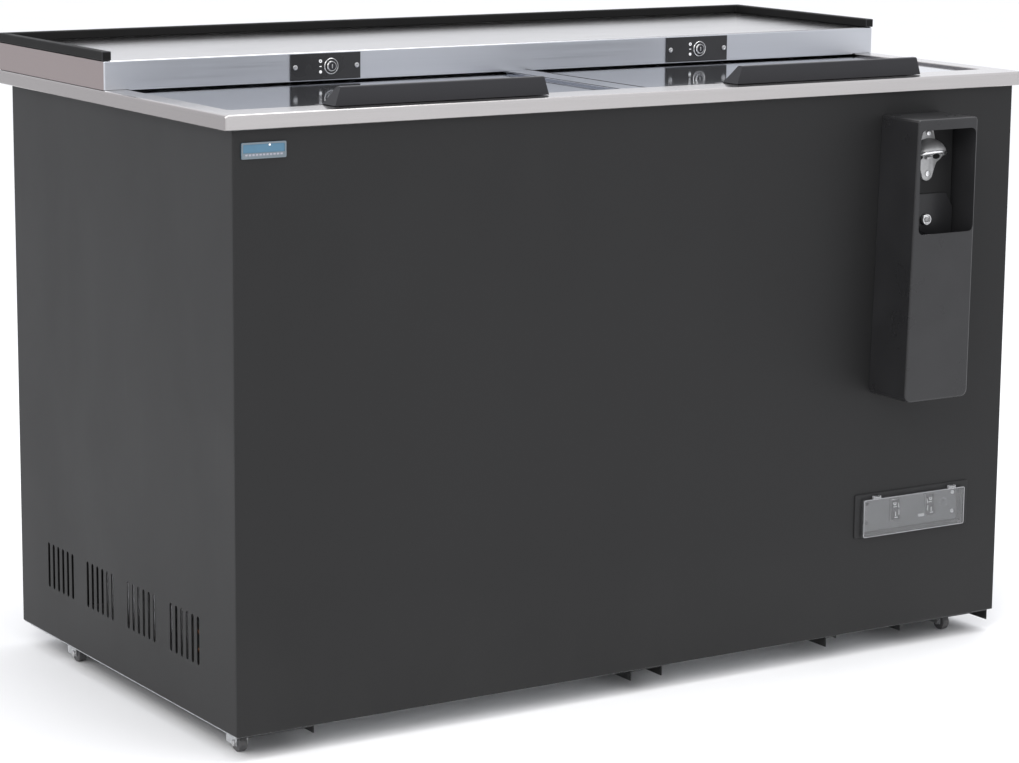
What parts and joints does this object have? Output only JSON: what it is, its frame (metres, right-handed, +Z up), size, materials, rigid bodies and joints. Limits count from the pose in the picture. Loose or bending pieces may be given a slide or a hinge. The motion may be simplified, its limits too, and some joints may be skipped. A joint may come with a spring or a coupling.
{
  "type": "deep-well bottle cooler",
  "caption": "Black deep-well bottle cooler on low castors with a stainless top, lids that slide back under a raised shelf, a wall bottle opener and a cap catcher.",
  "frame": {"origin": "on the floor, below the middle of the whole bounding box", "axes": "+X to the right seen from the front, along the length; +Y to the rear; +Z up. The front faces -Y."},
  "size_m": [1.2624, 0.7538, 0.864],
  "materials": {
    "black_paint": "satin",
    "stainless": "satin",
    "polished_stainless": "polished",
    "galvanised": "satin",
    "foam": "matte",
    "white_plastic": "satin",
    "grey_plastic": "matte",
    "black_plastic": "satin",
    "cast_steel": "satin",
    "badge_blue": "gloss",
    "clear_plastic": "gloss",
    "fin_metal": "satin",
    "wire_coat": "satin",
    "wheel_rubber": "matte"
  },
  "bodies": {
    "cabinet": {"front_panel": "black_paint", "left_side_panel": "black_paint", "right_side_panel": "black_paint", "rear_panel": "black_paint", "base_pan": "galvanised", "base_rail_left": "black_paint", "base_rail_centre": "black_paint", "base_rail_mid": "black_paint", "base_rail_right": "black_paint", "machine_deck": "galvanised", "tank_liner": "galvanised", "fan_shroud": "galvanised", "insulation": "foam", "rear_deck": "white_plastic", "breaker_frame": "grey_plastic", "top_rim": "stainless", "centre_mullion": "stainless", "riser": "stainless", "bumper": "black_plastic", "lock_plate_left": "black_plastic", "lock_plate_right": "black_plastic", "badge": "badge_blue", "catcher_bracket": "black_paint", "bottle_opener": "cast_steel", "control_bezel": "black_plastic", "control_plate": "grey_plastic", "thermostat": "black_plastic", "compressor": "black_paint", "condenser": "fin_metal", "evaporator": "fin_metal", "fan_motor": "black_paint", "divider_left": "wire_coat", "divider_right": "wire_coat"},
    "lid_left": {"lid_skin_left": "polished_stainless", "lid_core_left": "foam", "lid_handle_left": "black_plastic"},
    "lid_right": {"lid_skin_right": "polished_stainless", "lid_core_right": "foam", "lid_handle_right": "black_plastic"},
    "lock_left": {"lock_cylinder_left": "cast_steel"},
    "lock_right": {"lock_cylinder_right": "cast_steel"},
    "catcher": {"catcher_cover": "black_plastic", "catcher_back_plate": "black_plastic"},
    "catcher_screw": {"thumb_screw": "cast_steel"},
    "flap": {"control_flap": "clear_plastic"},
    "power_switch": {"power_switch": "black_plastic"},
    "light_switch": {"light_switch": "black_plastic"},
    "fan": {"condenser_fan": "grey_plastic"},
    "castor_front_left": {"castor_fork_front_left": "galvanised"},
    "wheel_front_left": {"castor_wheel_front_left": "wheel_rubber"},
    "castor_front_right": {"castor_fork_front_right": "galvanised"},
    "wheel_front_right": {"castor_wheel_front_right": "wheel_rubber"},
    "castor_rear_left": {"castor_fork_rear_left": "galvanised"},
    "wheel_rear_left": {"castor_wheel_rear_left": "wheel_rubber"},
    "castor_rear_right": {"castor_fork_rear_right": "galvanised"},
    "wheel_rear_right": {"castor_wheel_rear_right": "wheel_rubber"}
  },
  "joints": [
    {"name": "lid_slide_left", "type": "slide", "parent": "cabinet", "child": "lid_left", "axis": [0, 1, 0], "range_m": [0, 0.27]},
    {"name": "lid_slide_right", "type": "slide", "parent": "cabinet", "child": "lid_right", "axis": [0, 1, 0], "range_m": [0, 0.27]},
    {"name": "lock_turn_left", "type": "hinge", "parent": "cabinet", "child": "lock_left", "pos_m": [-0.296, 0.03665, 0.8322], "axis": [0, 1, 0], "range_deg": [-90, 0]},
    {"name": "lock_turn_right", "type": "hinge", "parent": "cabinet", "child": "lock_right", "pos_m": [0.311, 0.03665, 0.8322], "axis": [0, 1, 0], "range_deg": [-90, 0]},
    {"name": "catcher_pull", "type": "slide", "parent": "cabinet", "child": "catcher", "axis": [0, -1, 0], "range_m": [0, 0.1]},
    {"name": "thumb_screw_turn", "type": "hinge", "parent": "catcher", "child": "catcher_screw", "pos_m": [0.4335, -0.33395, 0.621], "axis": [0, 1, 0], "continuous": true},
    {"name": "flap_hinge", "type": "hinge", "parent": "cabinet", "child": "flap", "pos_m": [0.4579, -0.30205, 0.2265], "axis": [-1, 0, 0], "range_deg": [0, 100]},
    {"name": "power_switch_rock", "type": "hinge", "parent": "cabinet", "child": "power_switch", "pos_m": [0.429, -0.29085, 0.2025], "axis": [1, 0, 0], "range_deg": [0, 16]},
    {"name": "light_switch_rock", "type": "hinge", "parent": "cabinet", "child": "light_switch", "pos_m": [0.4918, -0.29085, 0.2025], "axis": [1, 0, 0], "range_deg": [0, 16]},
    {"name": "fan_spin", "type": "hinge", "parent": "cabinet", "child": "fan", "pos_m": [-0.508, 0.02, 0.1285], "axis": [1, 0, 0], "continuous": true},
    {"name": "castor_swivel_front_left", "type": "hinge", "parent": "cabinet", "child": "castor_front_left", "pos_m": [-0.589, -0.24085, 0.0299], "axis": [0, 0, 1], "continuous": true},
    {"name": "wheel_spin_front_left", "type": "hinge", "parent": "castor_front_left", "child": "wheel_front_left", "pos_m": [-0.589, -0.24985, 0.012], "axis": [1, 0, 0], "continuous": true},
    {"name": "castor_swivel_front_right", "type": "hinge", "parent": "cabinet", "child": "castor_front_right", "pos_m": [0.56, -0.24085, 0.0299], "axis": [0, 0, 1], "continuous": true},
    {"name": "wheel_spin_front_right", "type": "hinge", "parent": "castor_front_right", "child": "wheel_front_right", "pos_m": [0.56, -0.24985, 0.012], "axis": [1, 0, 0], "continuous": true},
    {"name": "castor_swivel_rear_left", "type": "hinge", "parent": "cabinet", "child": "castor_rear_left", "pos_m": [-0.589, 0.24015, 0.0299], "axis": [0, 0, 1], "continuous": true},
    {"name": "wheel_spin_rear_left", "type": "hinge", "parent": "castor_rear_left", "child": "wheel_rear_left", "pos_m": [-0.589, 0.23115, 0.012], "axis": [1, 0, 0], "continuous": true},
    {"name": "castor_swivel_rear_right", "type": "hinge", "parent": "cabinet", "child": "castor_rear_right", "pos_m": [0.56, 0.24015, 0.0299], "axis": [0, 0, 1], "continuous": true},
    {"name": "wheel_spin_rear_right", "type": "hinge", "parent": "castor_rear_right", "child": "wheel_rear_right", "pos_m": [0.56, 0.23115, 0.012], "axis": [1, 0, 0], "continuous": true}
  ]
}
